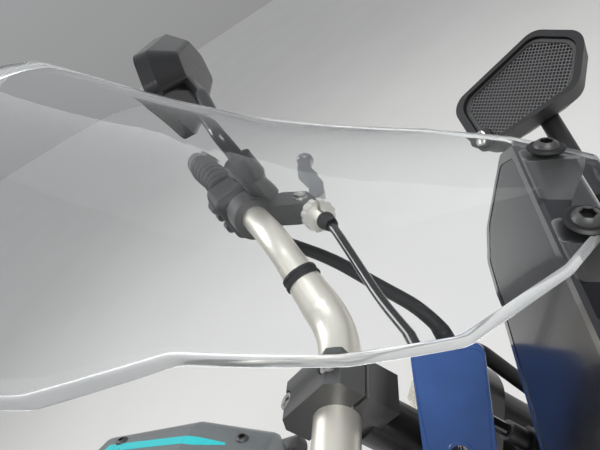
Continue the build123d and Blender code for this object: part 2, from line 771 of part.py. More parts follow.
def instrument_housing():
    body = extrude(dash_plan(0), -dash_depth)
    body = fillet(body.faces().sort_by(Axis.Z)[0].edges(), 7)
    body = chamfer(body.faces().sort_by(Axis.Z)[-1].edges(), 1.5)
    body -= extrude(dash_plan(dash_wall + 2), -glass_thick)
    return dash.location * body


def instrument_glass():
    return dash.location * (Pos(0, 0, -glass_thick) * extrude(dash_plan(dash_wall + 2.2), glass_thick - 0.3))


# Fly screen: a sheet that curls up towards the rider and bows across the bike
def screen_sheet(drop):
    """The screen's curved sheet, from its outer face down by the given depth."""
    chord = Vector(screen_high[0] - screen_low[0], 0, screen_high[1] - screen_low[1]).normalized()
    square = Vector(chord.Z, 0, -chord.X)
    lower = [Vector(bar_centre.X + x, 0, bar_centre.Z + z) for x, z in (screen_low, screen_mid, screen_high)]
    upper = [p + square * screen_thick for p in lower]
    lower = [p + square * (screen_thick - drop) for p in lower]
    face = make_face([ThreePointArc(*lower), Line(lower[2], upper[2]), ThreePointArc(*upper[::-1]),
                      Line(upper[0], lower[0])])
    centre = (upper[0] + upper[2]) * 0.5 - square * screen_cross_r
    axis = Axis(centre, chord)
    return revolve(face, axis=axis, revolution_arc=66).rotate(axis, -33)


def windscreen():
    points = [(bar_centre.X + x, w) for x, w in screen_outline]
    points += [(x, -w) for x, w in points[::-1]]
    plan = fillet(make_face(Polyline(*points, close=True)).vertices(), 12)
    cutter = extrude(Pos(0, 0, bar_centre.Z + 40) * plan, 260)
    return screen_sheet(screen_thick) & cutter


def screen_bracket(side):
    """Short rail between the instrument's top and the screen's underside."""
    x, y, z, half = bar_centre.X + rail_ahead, side * rail_apart, bar_centre.Z, rail_width / 2
    rail = box_between((x - 10, y - half, z + 60), (x + 10, y + half, z + 140))
    rail = fillet(rail.edges().filter_by(Axis.Z), 3)
    below = screen_sheet(70) - screen_sheet(screen_thick)
    rail = (rail & below) - parts["instrument_housing"]
    return rail.solids().sort_by(Axis.Z)[-1]


# Cast stay from the steering head to the instrument, with the lamp plate and the side arms
def front_stay():
    back = dash.from_local_coords(Vector(0, 0, -dash_depth))
    top, low = back + dash.y_dir * 22, back - dash.y_dir * 26
    profile = [*stay_foot, (top.X + 10, top.Z + 4), (top.X, top.Z), (low.X, low.Z), *stay_spine]
    outline = make_face(Polyline(*[(a, 0, b) for a, b in profile], close=True))
    web = extrude(outline, stay_width / 2, both=True)
    pocket = extrude(offset(outline, amount=-stay_rim, kind=Kind.INTERSECTION), stay_width, both=True)
    web -= pocket - Box(1000, stay_web, 1000)
    for a, b in stay_holes:
        web -= Pos(a, 0, b) * Rot(90, 0, 0) * Cylinder(stay_hole_d / 2, 2 * stay_width)
    plate = box_between((lamp_back - 12, -lamp_half - 18, lamp_up - 11),
                        (lamp_back, lamp_half + 18, lamp_up + 11))
    web += fillet(plate.edges().filter_by(Axis.X), 6)
    for side in (1, -1):
        seat = scoop_frame(side).from_local_coords(Vector(0, 0, 6 - scoop_depth))
        points = [(stay_rear + 18, 0, arm_up), (stay_rear + 20, side * arm_knee, arm_up), tuple(seat)]
        web += tube_along(points, [70], arm_d)
    web -= steered(cylinder_at(head_outer_d / 2 + collar_step, -head_length, collar - head_length))
    web -= steered(cylinder_at(head_outer_d / 2, -head_length - 5, 5))
    return web - parts["steering_head"]


# Side scoops with their grilles
def scoop_frame(side):
    return Plane(origin=(scoop_ahead, side * scoop_left, scoop_up), x_dir=(0.96, 0, 0.28),
                 z_dir=(-0.24, -0.45 * side, 0.86))


def scoop_plan(shrink, depth):
    points = [(x * shrink, y * shrink, depth) for x, y in scoop_outline]
    return fillet(make_face(Polyline(*points, close=True)).vertices(), 15 * shrink)


def side_scoop(side):
    body = loft([scoop_plan(1.0, 0), scoop_plan(0.92, -18), scoop_plan(0.5, -scoop_depth)], ruled=True)
    body -= extrude(scoop_plan(0.88, 1), -11)
    return scoop_frame(side).location * body - parts["front_stay"]


def side_grille(side):
    """Woven grille in the scoop's mouth: a rim with crossed bars."""
    rim = extrude(scoop_plan(0.876, -3), -3) - extrude(scoop_plan(0.80, -1), -8)
    bars = None
    for k in range(-7, 8):
        for turn in (45, -45):
            bar = Rot(0, 0, turn) * Pos(k * mesh_pitch, 0, -4.5) * Box(mesh_bar, 140, 2.4)
            bars = bar if bars is None else bars + bar
    return scoop_frame(side).location * (rim + (bars & extrude(scoop_plan(0.81, -2), -6)))


# Lamps under the instrument
def headlamp(side):
    body = turned([(0, 0), (24, 0), (30, 6), (lamp_d / 2, 34), (lamp_d / 2, 50), (lamp_d / 2 - 3, 50),
                   (lamp_d / 2 - 3, 34), (22, 12), (0, 12)])
    return Pos(lamp_back, side * lamp_half, lamp_up) * Rot(0, 90, 0) * body


def headlamp_lens(side):
    edge = lamp_d / 2 - 3 - clamp_gap
    body = turned([(0, 50), (edge * 0.6, 49), (edge, 45), (edge, 42), (0, 44)])
    return Pos(lamp_back, side * lamp_half, lamp_up) * Rot(0, 90, 0) * body


# Inner cover with the accessory socket
def inner_cover():
    low, high = cover_low, cover_high
    outer = Pos(cover_rear + 40, 0, 0) * RectangleRounded(80, 2 * cover_half, 22)
    inner = Pos(cover_rear + 40, 0, 0) * RectangleRounded(
        80 - 2 * panel_thick, 2 * (cover_half - panel_thick), 22 - panel_thick)
    wall = extrude(Pos(0, 0, low) * (outer - inner), high - low)
    wall -= box_between((cover_rear + 58, -200, low - 1), (cover_rear + 100, 200, high + 1))
    for level in (low + 12, high - 12):
        wall += Pos(cover_rear + 1, 0, level) * Rot(0, 90, 0) * Cylinder(
            8, stay_rear - cover_rear - 1, align=(Align.CENTER, Align.CENTER, Align.MIN))
    wall -= Pos(cover_rear, socket_left, socket_up) * Rot(0, 90, 0) * Cylinder(15 + clamp_gap, 30)
    return wall - parts["front_stay"] - parts["instrument_housing"]


def accessory_socket():
    """Round power socket: barrel through the cover, flange, and a hinged cap with a recessed disc."""
    barrel = turned([(0, -30), (15, -30), (15, 0), (socket_d / 2, 0), (socket_d / 2, 3), (0, 3)])
    rim = socket_d / 2
    cap = turned([(0, 3), (rim - 1, 3), (rim - 1, 8), (rim - 4, 11), (14, 11), (13, 9), (0, 9)])
    tab = box_between((-6, socket_d / 2 - 4, 3), (6, socket_d / 2 + 7, 8))
    body = barrel + cap + fillet(tab.edges().filter_by(Axis.Z).sort_by(Axis.Y)[-2:], 4)
    return Pos(cover_rear, socket_left, socket_up) * Rot(0, -90, 0) * body


# Panels behind the steering head
def tank_section(behind, half, low, shoulder, crown, lift):
    """Upright cross section: flanks leaning in below, rounded shoulders and an arched top."""
    x, radius = -behind, tank_shoulder_r
    base = [(x, side * (half - tank_tuck), low) for side in (1, -1)]
    flank = [(x, side * half, shoulder - radius) for side in (1, -1)]
    knee = [(x, side * (half - radius / 3), shoulder - radius / 6) for side in (1, -1)]
    deck = [(x, side * (half - 1.25 * radius), shoulder + lift + radius / 2) for side in (1, -1)]
    return make_face([
        Line(base[1], base[0]), Line(base[0], flank[0]), ThreePointArc(flank[0], knee[0], deck[0]),
        ThreePointArc(deck[0], (x, 0, crown + lift), deck[1]), ThreePointArc(deck[1], knee[1], flank[1]),
        Line(flank[1], base[1])])


def tank_body(lift):
    body = loft([tank_section(*sizes, lift) for sizes in tank_sections], ruled=True)
    return fillet(body.faces().sort_by(Axis.X)[-1].edges(), tank_nose_r)


def tank_cover():
    half = tank_split - panel_seam / 2
    return tank_body(tank_step) & box_between((-500, -half, 0), (0, half, 500))


def tank_side(side):
    body = tank_body(0) & box_between((-500, tank_split + panel_seam / 2, 0), (0, 500, 500))
    return body if side > 0 else mirrored(body)


def cover_bracket():
    """Two tubes on the steering head casting and the cross bar that the panels' fronts sit on."""
    body = box_between((-88, -support_half, 100), (-72, support_half, 116))
    body = fillet(body.edges().filter_by(Axis.X), 5)
    for side in (1, -1):
        body += tube_along([(6, side * 46, 50), (-40, side * 46, 74), (-80, side * 46, 108)], [60], 13)
    for name in ("tank_cover", "tank_side_left", "tank_side_right", "steering_head"):
        body -= parts[name]
    return body


steering_side = {
    "top_yoke": top_yoke, "lower_yoke": lower_yoke, "stem_nut": stem_nut, "handlebar": handlebar,
    "bar_risers": bar_risers, "clamp_caps": clamp_caps, "clutch_perch": clutch_perch,
    "clutch_adjuster": clutch_adjuster, "clutch_lever": lever, "clutch_cable": clutch_cable,
    "cable_stop": cable_stop, "brake_master": brake_master, "brake_lever": lambda: mirrored(lever()),
    "brake_reservoir": brake_reservoir, "reservoir_lid": reservoir_lid, "brake_hose": brake_hose,
    "harness": harness, "switch_left": switch_left, "switch_right": lambda: mirrored(switch_housing(False)),
    "ignition_lock": ignition_lock, "key": key, "key_tag": key_tag}
frame_side = {
    "steering_head": steering_head, "head_bearings": head_bearings, "front_stay": front_stay,
    "instrument_housing": instrument_housing, "instrument_glass": instrument_glass, "windscreen": windscreen,
    "inner_cover": inner_cover, "accessory_socket": accessory_socket, "tank_cover": tank_cover}
sides = {"left": 1, "right": -1}
by_side = {
    "fork_tube": fork_tube, "side_scoop": side_scoop, "side_grille": side_grille, "headlamp": headlamp,
    "tank_side": tank_side}
in_pairs = {
    "fork_caps": fork_cap, "screen_brackets": screen_bracket, "headlamp_lenses": headlamp_lens}
copied_right = {
    "grip": grip, "mirror_arm": mirror_arm, "mirror_head": mirror_head,
    "mirror_glass": mirror_glass}

for name, make in {**frame_side, **steering_side}.items():
    add(name, make())
for name, make in by_side.items():
    for word, side in sides.items():
        add(f"{name}_{word}", make(side))
for name, make in in_pairs.items():
    add(name, Compound(children=[make(side) for side in sides.values()]))
add("bar_weights", Compound(children=[bar_weight(), mirrored(bar_weight())]))
for name, make in copied_right.items():
    add(f"{name}_left", make())
    add(f"{name}_right", mirrored(parts[f"{name}_left"]))
add("cover_bracket", cover_bracket())

os.makedirs("parts", exist_ok=True)
for name, shape in parts.items():
    export_step(shape, f"parts/{name}.step")
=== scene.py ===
import json
import math

import bmesh
import bpy
from mathutils import Matrix, Vector


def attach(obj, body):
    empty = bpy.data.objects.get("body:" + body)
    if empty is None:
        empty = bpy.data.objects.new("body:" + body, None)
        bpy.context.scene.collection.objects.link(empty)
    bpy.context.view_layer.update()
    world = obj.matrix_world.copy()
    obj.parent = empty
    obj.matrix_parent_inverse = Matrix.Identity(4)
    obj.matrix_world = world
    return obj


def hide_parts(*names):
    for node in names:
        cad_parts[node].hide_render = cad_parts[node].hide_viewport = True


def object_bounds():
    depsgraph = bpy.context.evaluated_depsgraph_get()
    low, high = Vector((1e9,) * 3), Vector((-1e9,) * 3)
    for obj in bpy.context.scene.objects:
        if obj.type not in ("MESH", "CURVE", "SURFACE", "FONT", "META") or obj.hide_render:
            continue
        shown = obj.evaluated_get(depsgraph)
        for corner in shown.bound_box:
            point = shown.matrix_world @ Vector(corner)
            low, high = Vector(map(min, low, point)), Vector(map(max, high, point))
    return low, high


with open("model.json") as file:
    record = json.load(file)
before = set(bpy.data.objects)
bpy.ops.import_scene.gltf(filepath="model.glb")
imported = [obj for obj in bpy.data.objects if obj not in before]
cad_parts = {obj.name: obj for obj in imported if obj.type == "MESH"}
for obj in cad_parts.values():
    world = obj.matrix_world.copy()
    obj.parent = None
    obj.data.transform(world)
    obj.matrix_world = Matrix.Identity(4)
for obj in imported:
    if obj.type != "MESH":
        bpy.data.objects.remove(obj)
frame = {"nodes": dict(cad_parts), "record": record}
cad_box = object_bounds()
nodes = frame["nodes"]
MM = 0.001
SIDES = (("left", 1), ("right", -1))
BOTH = [side for _, side in SIDES]
AHEAD, LEFT, UP = Vector((1, 0, 0)), Vector((0, 1, 0)), Vector((0, 0, 1))

# Steering geometry, in millimetres and degrees as in the part
RAKE = math.radians(24)
AXIS_UP = Vector((-math.sin(RAKE), 0, math.cos(RAKE)))
AXIS_AHEAD = Vector((math.cos(RAKE), 0, math.sin(RAKE)))
AXIS_X, HEAD_RISE = 78, 85              # where the axis meets height 0, and the head's top along it
HEAD_TOP = Vector((AXIS_X - HEAD_RISE * math.sin(RAKE), 0, HEAD_RISE * math.cos(RAKE)))
BAR_AHEAD, BAR_UP = 32.0, 126.0         # the bar's middle, from the head's top
BAR_MIDDLE_R = 14.3
FORK_OFFSET, FORK_HALF = 28.0, 95.0     # the fork tubes, ahead of the axis and out from the middle
LOWER_YOKE_TOP = -185.0
HOSE_AHEAD, HOSE_LOW = 71.0, LOWER_YOKE_TOP + 6     # where hose and conduit enter their blocks
DROOP = math.radians(25)                # of the levers, below the grips


def steered(ahead, left, up):
    """A point of the steering frame, in metres."""
    return (HEAD_TOP + AXIS_AHEAD * ahead + Vector((0, left, 0)) + AXIS_UP * up) * MM


BAR_CENTRE = steered(BAR_AHEAD, 0, BAR_UP)


def from_bar(x, y, z):
    """A point given from the bar's middle, in metres."""
    return BAR_CENTRE + Vector((x, y, z)) * MM


# Handle frame at the bar's left end: ahead, up and inboard
BAR_END = from_bar(-150, 370, 60)
BAR_NECK = from_bar(0, 96, 0)
BAR_RISE = from_bar(-28, 160, 56)
INBOARD = (BAR_RISE - BAR_END).normalized()
HANDLE_AHEAD = INBOARD.cross(Vector((0, 0, -1))).normalized()
HANDLE_UP = INBOARD.cross(HANDLE_AHEAD)
LEVER_AHEAD = HANDLE_AHEAD * math.cos(DROOP) - HANDLE_UP * math.sin(DROOP)
LEVER_UP = HANDLE_UP * math.cos(DROOP) + HANDLE_AHEAD * math.sin(DROOP)


def flip(place, side):
    """A place or direction of the left side, on either side."""
    x, y, z = place
    return Vector((x, side * y, z))


def at_handle(ahead, up, inboard, side):
    return flip(BAR_END + (HANDLE_AHEAD * ahead + HANDLE_UP * up + INBOARD * inboard) * MM, side)


def at_lever(ahead, up, inboard, side):
    return flip(BAR_END + (LEVER_AHEAD * ahead + LEVER_UP * up + INBOARD * inboard) * MM, side)


# Materials
EDGE_START, EDGE_END = 0.53, 0.62       # pointiness where an edge's wear begins and is full
COAT_ROUGH, LEAST_ROUGH = 0.06, 0.02
CLEAR_COAT, CLEAR_IOR = 0.6, 1.46       # of the tinted clear plastics
# The screen's index is well under acrylic's 1.49, which keeps the pale room's mirror image faint
SCREEN_IOR = 1.12
SMEAR_SCALE, SMEAR_ROUGH, SMEAR_START, SMEAR_END = 22, 0.035, 0.45, 0.75
SMEAR_DARK, SMEAR_LIGHT = (0.93, 0.955, 0.965), (0.985, 0.99, 0.995)
WAVE_SCALE, WAVE_STRENGTH, WAVE_DEPTH = 25, 0.03, 0.0004


def new_material(name):
    material = bpy.data.materials.new(name)
    material.use_nodes = True
    tree = material.node_tree
    return material, tree, tree.nodes["Principled BSDF"]


def blend_colours(tree, factor, low, high):
    """Colour between two colours or sockets, by a factor."""
    mix = tree.nodes.new("ShaderNodeMix")
    mix.data_type = "RGBA"
    for socket, colour in (("A", low), ("B", high)):
        if isinstance(colour, bpy.types.NodeSocket):
            tree.links.new(colour, mix.inputs[socket])
        else:
            mix.inputs[socket].default_value = (*colour, 1)
    tree.links.new(factor, mix.inputs["Factor"])
    return mix.outputs["Result"]


def spread(tree, value, low, high, start=0.0, end=1.0):
    """Maps a value's range from start..end to low..high."""
    node = tree.nodes.new("ShaderNodeMapRange")
    for socket, number in (("From Min", start), ("From Max", end), ("To Min", low), ("To Max", high)):
        node.inputs[socket].default_value = number
    tree.links.new(value, node.inputs["Value"])
    return node.outputs["Result"]


def noise(tree, vector, scale, detail):
    node = tree.nodes.new("ShaderNodeTexNoise")
    node.inputs["Scale"].default_value = scale
    node.inputs["Detail"].default_value = detail
    tree.links.new(vector, node.inputs["Vector"])
    return node.outputs["Fac"]


def add_bump(tree, shader, height, strength, depth):
    bump = tree.nodes.new("ShaderNodeBump")
    bump.inputs["Strength"].default_value = strength
    bump.inputs["Distance"].default_value = depth
    tree.links.new(height, bump.inputs["Height"])
    tree.links.new(bump.outputs["Normal"], shader.inputs["Normal"])


def finish(name, colour, rough, metal=0.0, coat=0.0, mottle=0.12, mottle_scale=60.0, grain=0.1,
           grain_scale=900.0, grain_depth=0.0002, wear=0.0, wear_colour=(0.5, 0.5, 0.5),
           stretch=(1, 1, 1), rough_spread=0.08):
    """Coloured surface: soft mottling, a fine grain in bump, varied gloss and rubbed edges."""
    material, tree, shader = new_material(name)
    links = tree.links
    place = tree.nodes.new("ShaderNodeTexCoord")
    mapping = tree.nodes.new("ShaderNodeMapping")
    mapping.inputs["Scale"].default_value = stretch
    links.new(place.outputs["Object"], mapping.inputs["Vector"])
    cloud = noise(tree, mapping.outputs["Vector"], mottle_scale, detail=4)
    dark, light = [c * (1 - mottle) for c in colour], [min(1, c * (1 + mottle)) for c in colour]
    colour_out = blend_colours(tree, cloud, dark, light)
    if wear:
        geometry = tree.nodes.new("ShaderNodeNewGeometry")
        edge = spread(tree, geometry.outputs["Pointiness"], 0.0, wear, EDGE_START, EDGE_END)
        colour_out = blend_colours(tree, edge, colour_out, wear_colour)
    links.new(colour_out, shader.inputs["Base Color"])
    gloss = spread(tree, cloud, max(LEAST_ROUGH, rough - rough_spread), min(1, rough + rough_spread))
    links.new(gloss, shader.inputs["Roughness"])
    grains = noise(tree, mapping.outputs["Vector"], grain_scale, detail=2)
    add_bump(tree, shader, grains, grain, grain_depth)
    shader.inputs["Metallic"].default_value = metal
    shader.inputs["Coat Weight"].default_value = coat
    shader.inputs["Coat Roughness"].default_value = COAT_ROUGH
    return material


def clear_sheet(name):
    """Clear polished acrylic with faint smears, which casts no shadow."""
    material, tree, shader = new_material(name)
    links = tree.links
    place = tree.nodes.new("ShaderNodeTexCoord").outputs["Object"]
    smears = noise(tree, place, SMEAR_SCALE, detail=5)
    links.new(blend_colours(tree, smears, SMEAR_DARK, SMEAR_LIGHT), shader.inputs["Base Color"])
    haze = spread(tree, smears, 0.0, SMEAR_ROUGH, SMEAR_START, SMEAR_END)
    links.new(haze, shader.inputs["Roughness"])
    add_bump(tree, shader, noise(tree, place, WAVE_SCALE, detail=2), WAVE_STRENGTH, WAVE_DEPTH)
    shader.inputs["Transmission Weight"].default_value = 1.0
    shader.inputs["IOR"].default_value = SCREEN_IOR
    path = tree.nodes.new("ShaderNodeLightPath")
    through = tree.nodes.new("ShaderNodeBsdfTransparent")
    mix = tree.nodes.new("ShaderNodeMixShader")
    links.new(path.outputs["Is Shadow Ray"], mix.inputs[0])
    links.new(shader.outputs["BSDF"], mix.inputs[1])
    links.new(through.outputs["BSDF"], mix.inputs[2])
    links.new(mix.outputs["Shader"], tree.nodes["Material Output"].inputs["Surface"])
    return material


def tinted_clear(name, colour, rough, through, mottle_scale=40.0):
    """Translucent moulded plastic with soft density clouds."""
    material = finish(name, colour, rough, mottle=0.25, mottle_scale=mottle_scale, grain=0.05)
    shader = material.node_tree.nodes["Principled BSDF"]
    shader.inputs["Transmission Weight"].default_value = through
    shader.inputs["IOR"].default_value = CLEAR_IOR
    shader.inputs["Coat Weight"].default_value = CLEAR_COAT
    return material


BLACK_PAINT = dict(metal=0.35, coat=0.2, grain=0.35, grain_scale=1500, wear=0.25,
                   wear_colour=(0.3, 0.3, 0.3))
MOULDED = dict(mottle=0.15, grain=0.7, grain_scale=1900, grain_depth=0.0003)
BRIGHT = dict(mottle=0.06, grain=0.15, grain_scale=1700, wear=0.3, wear_colour=(0.92, 0.92, 0.9))
looks = {
    "black_alloy": finish("black_alloy_look", (0.011, 0.011, 0.012), 0.36, **BLACK_PAINT),
    "frame_alloy": finish("frame_alloy_look", (0.018, 0.018, 0.02), 0.42, **BLACK_PAINT),
    "bar_alloy": finish("bar_alloy_look", (0.78, 0.75, 0.67), 0.34, metal=0.72, mottle=0.05, grain=0.12,
                        grain_scale=2600, stretch=(1, 0.15, 1)),
    "bearing_steel": finish("bearing_steel_look", (0.5, 0.5, 0.5), 0.3, metal=1.0, mottle=0.08),
    "bright_steel": finish("bright_steel_look", (0.72, 0.71, 0.69), 0.22, metal=1.0, **BRIGHT),
    "fork_tube": finish("fork_tube_look", (0.02, 0.02, 0.022), 0.42, metal=0.2, mottle=0.1, grain=0.15,
                        stretch=(1, 1, 0.1)),
    "cap_alloy": finish("cap_alloy_look", (0.80, 0.76, 0.64), 0.27, metal=0.9, **BRIGHT),
    "lever_alloy": finish("lever_alloy_look", (0.42, 0.43, 0.44), 0.36, metal=0.95, **BRIGHT),
    "grip_rubber": finish("grip_rubber_look", (0.009, 0.009, 0.01), 0.62, mottle=0.2, grain=0.8,
                          grain_scale=1400, grain_depth=0.0006),
    "bar_end": finish("bar_end_look", (0.012, 0.012, 0.013), 0.33, metal=0.5, mottle=0.1, grain=0.2,
                      wear=0.3),
    "switch_plastic": finish("switch_plastic_look", (0.015, 0.016, 0.018), 0.5, wear=0.12, **MOULDED),
    "cable_jacket": finish("cable_jacket_look", (0.007, 0.007, 0.008), 0.16, mottle=0.2, grain=0.1,
                           coat=0.9),
    "hose_rubber": finish("hose_rubber_look", (0.009, 0.009, 0.01), 0.48, mottle=0.2, grain=0.9,
                          grain_scale=1300, grain_depth=0.0007),
    "bracket_steel": finish("bracket_steel_look", (0.012, 0.012, 0.013), 0.4, metal=0.3, grain=0.3,
                            wear=0.3),
    "lock_metal": finish("lock_metal_look", (0.022, 0.022, 0.023), 0.33, metal=0.7, grain=0.25, wear=0.4),
    "tag_clear": tinted_clear("tag_clear_look", (0.045, 0.12, 0.36), 0.22, 0.35, 45.0),
    "reservoir_amber": tinted_clear("reservoir_amber_look", (0.52, 0.25, 0.035), 0.2, 0.55),
    "lid_plastic": finish("lid_plastic_look", (0.012, 0.012, 0.013), 0.42, **MOULDED),
    "mirror_plastic": finish("mirror_plastic_look", (0.01, 0.01, 0.011), 0.24, coat=0.5, grain=0.15),
    "mirror_face": finish("mirror_face_look", (0.86, 0.88, 0.9), 0.035, metal=1.0, mottle=0.02,
                          grain=0.01, rough_spread=0.01),
    "dash_gloss": finish("dash_gloss_look", (0.009, 0.009, 0.011), 0.12, coat=0.9, mottle=0.2, grain=0.05),
    "dash_glass": finish("dash_glass_look", (0.006, 0.006, 0.009), 0.19, coat=0.25, mottle=0.3,
                         grain=0.02, rough_spread=0.04),
    "screen_clear": clear_sheet("screen_clear_look"),
    "inner_plastic": finish("inner_plastic_look", (0.011, 0.011, 0.012), 0.5, **MOULDED),
    "socket_rubber": finish("socket_rubber_look", (0.009, 0.009, 0.01), 0.45, mottle=0.15, grain=0.4),
    "scoop_plastic": finish("scoop_plastic_look", (0.016, 0.016, 0.017), 0.42, **MOULDED),
    "grille_black": finish("grille_black_look", (0.045, 0.045, 0.047), 0.38, metal=0.4, grain=0.3,
                           wear=0.3),
    "lamp_shell": finish("lamp_shell_look", (0.011, 0.011, 0.012), 0.3, coat=0.3, grain=0.3),
    "lamp_lens": tinted_clear("lamp_lens_look", (0.82, 0.86, 0.9), 0.05, 0.85),
    "panel_grey": finish("panel_grey_look", (0.205, 0.225, 0.232), 0.36, metal=0.45, coat=0.35,
                         mottle=0.05, mottle_scale=14, grain=0.2, grain_scale=2600),
}
stripe_look = finish("stripe_look", (0.02, 0.52, 0.56), 0.3, coat=0.5, mottle=0.06, grain=0.1)
stop_red_look = finish("stop_red_look", (0.42, 0.02, 0.015), 0.4, mottle=0.1, grain=0.5)
button_look = finish("button_look", (0.11, 0.115, 0.12), 0.45, mottle=0.12, grain=0.5)
# Pale, partly cloudy look for the screen's cut edges: a painted highlight standing in for the glints of
# the polished rim
painted_edge_highlight_look = tinted_clear("screen_edge_painted_highlight_look", (0.86, 0.91, 0.93), 0.16, 0.7)
satin_look = finish("satin_look", (0.84, 0.82, 0.77), 0.45, metal=0.55, mottle=0.05, grain=0.2,
                    grain_scale=2200)
own_looks = {"clutch_adjuster": satin_look}     # CAD nodes that differ from the rest of their slot
slot_of = {part["node"]: part["material_slot"] for part in frame["record"]["subparts"]}
for name, node in nodes.items():
    node.data.materials.clear()
    node.data.materials.append(own_looks.get(name, looks[slot_of[name]]))
bpy.context.view_layer.update()

# Mesh tools
SHARP_ANGLE = math.radians(32)
KNURL_DIP = 0.965                       # share of a bolt head's radius between its knurl's ridges
RAY_START = 1                           # metres above the part's origin


def piece(name, build, body, slot, look=None):
    """One mesh: build fills it, and it rides on a body with a slot's finish."""
    mesh = bpy.data.meshes.new(name)
    bm = bmesh.new()
    build(bm)
    bmesh.ops.recalc_face_normals(bm, faces=bm.faces)
    bm.to_mesh(mesh)
    bm.free()
    mesh.materials.append(look or looks[slot])
    mesh.shade_smooth()
    mesh.set_sharp_from_angle(angle=SHARP_ANGLE)
    obj = bpy.data.objects.new(name, mesh)
    bpy.context.scene.collection.objects.link(obj)
    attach(obj, body)
    return obj


def facing(place, axis):
    """Frame at a place whose z runs along the axis."""
    turn = Vector(axis).normalized().to_track_quat("Z", "Y").to_matrix().to_4x4()
    return Matrix.Translation(place) @ turn


def ring_radius(radius, angle, form, step):
    """A ring's radius at an angle: the flats of a hexagon, a knurl's ridges, or round."""
    if form == "hex":
        return radius / math.cos((angle + math.pi / 6) % (math.pi / 3) - math.pi / 6)
    return radius * (KNURL_DIP if form == "knurl" and step % 2 else 1)


def lathe(bm, place, axis, profile, steps):
    """Skin turned from (radius, height, form) corners in millimetres; a radius of 0 closes it."""
    matrix = facing(place, axis)
    rings = []
    for radius, height, form in profile:
        count = steps if radius else 1
        angles = [2 * math.pi * k / steps for k in range(count)]
        radii = [ring_radius(radius, angle, form, k) for k, angle in enumerate(angles)]
        rings.append([bm.verts.new(matrix @ (Vector((r * math.cos(a), r * math.sin(a), height)) * MM))
                      for r, a in zip(radii, angles)])
    for low, high in zip(rings, rings[1:]):
        for k in range(steps):
            n = (k + 1) % steps
            corners = [low[k % len(low)], low[n % len(low)], high[n % len(high)], high[k % len(high)]]
            bm.faces.new(list(dict.fromkeys(corners)))


def turned(name, body, slot, spots, profile, steps=24):
    """One piece with the same turned shape at each (place, axis)."""
    def build(bm):
        for place, axis in spots:
            lathe(bm, place, axis, profile, steps)
    return piece(name, build, body, slot)


def plain(pairs):
    return [(radius, height, "round") for radius, height in pairs]


def stitch(bm, rings, closed=True):
    """Quads between rings of equally many points."""
    for low, high in zip(rings, rings[1:]):
        count = len(low) if closed else len(low) - 1
        for k in range(count):
            n = (k + 1) % len(low)
            bm.faces.new((low[k], low[n], high[n], high[k]))


def rounded(corners, radius, steps=6):
    """Closed plan outline with each corner turned into an arc, as a list of 2D points."""
    out = []
    for k, here in enumerate(corners):
        here = Vector(here)
        before, after = (Vector(corners[(k + d) % len(corners)]) - here for d in (-1, 1))
        half = before.angle(after) / 2
        inward = (before.normalized() + after.normalized()).normalized()
        centre = here + inward * radius / math.sin(half)
        reach = radius / math.tan(half)
        start, end = (here + way.normalized() * reach - centre for way in (before, after))
        turn = start.angle_signed(end)
        for step in range(steps + 1):
            angle = -turn * step / steps
            out.append(centre + Vector((start.x * math.cos(angle) - start.y * math.sin(angle),
                                        start.x * math.sin(angle) + start.y * math.cos(angle))))
    return out


def divided(outline, length):
    """Closed outline whose longer runs are divided into steps near a length."""
    out = []
    for here, after in zip(outline, outline[1:] + outline[:1]):
        parts = max(1, round((after - here).length / length))
        out += [here.lerp(after, k / parts) for k in range(parts)]
    return out


def surface(node, x, y):
    """Highest point of a node above a place, and its normal; x and y in millimetres."""
    start = Vector((x * MM, y * MM, RAY_START))
    found, point, normal, _ = nodes[node].ray_cast(start, -UP)
    if not found:
        raise ValueError(f"nothing of {node} lies at {x}, {y}")
    return point, normal


# Bolt heads of a radius and a height, as profiles for the lathe
def socket_head(r, h):
    return [(0, 0, "round"), (r, 0, "round"), (r, 0.1 * h, "knurl"), (r, 0.82 * h, "knurl"),
            (0.9 * r, h, "round"), (0.62 * r, h, "round"), (0.48 * r, 0.93 * h, "hex"),
            (0.48 * r, 0.35 * h, "hex"), (0, 0.35 * h, "round")]


def button_head(r, h):
    return [(0, 0, "round"), (r, 0, "round"), (r, 0.22 * h, "round"), (0.87 * r, 0.68 * h, "round"),
            (0.58 * r, h, "round"), (0.42 * r, 0.92 * h, "hex"), (0.42 * r, 0.4 * h, "hex"),
            (0, 0.4 * h, "round")]


def hex_head(r, h):
    return [(0, 0, "round"), (1.35 * r, 0, "round"), (1.3 * r, 0.18 * h, "round"), (r, 0.22 * h, "hex"),
            (r, 0.9 * h, "hex"), (0.86 * r, h, "round"), (0.5 * r, h, "round"),
            (0.42 * r, 0.9 * h, "round"), (0, 0.9 * h, "round")]


# Places of bolts on the steering, in millimetres: in the steering's, the handle's or the lever's frame
CLAMP_BOLT_STEP, CLAMP_BOLT_SIDE, CLAMP_BOLT_UP = 21.15, 42, 142
PINCH_AHEAD, PINCH_SIDE = FORK_OFFSET - 29.5, FORK_HALF + 12
UPPER_PINCH_UP, LOWER_PINCH_UPS = 18, (-194, -210)
LOWER_PINCH_BACK, LOWER_PINCH_OUT = 2, 1    # from the upper ones
PIVOT_AHEAD, PIVOT_UP, PIVOT_IN = 40, 9, 200
WEIGHT_FACE_IN = -22
RESERVOIR_AT = (18, 22, 226)
# Places on the tank's sides and the screen, in millimetres
PANEL_SCREWS = ((-98, 82), (-214, 98))
SCREEN_SCREW_X, SCREEN_SCREW_SIDE = from_bar(160, 0, 0).x / MM, 24
# Places in metres
LID_UP, LID_SCREW_STEP = 0.038, 0.0135  # above the reservoir's place, and out from its middle
STAY_BOLT = (0.118, 0.005, 0.042)
LAMP_X, LAMP_Y, LAMP_Z = 0.218, 0.060, 0.190
LAMP_BACK_X, LAMP_BOLT_STEP = 0.206, 0.009


def screen_screw_spots():
    return [surface("windscreen", SCREEN_SCREW_X, side * SCREEN_SCREW_SIDE) for side in BOTH]


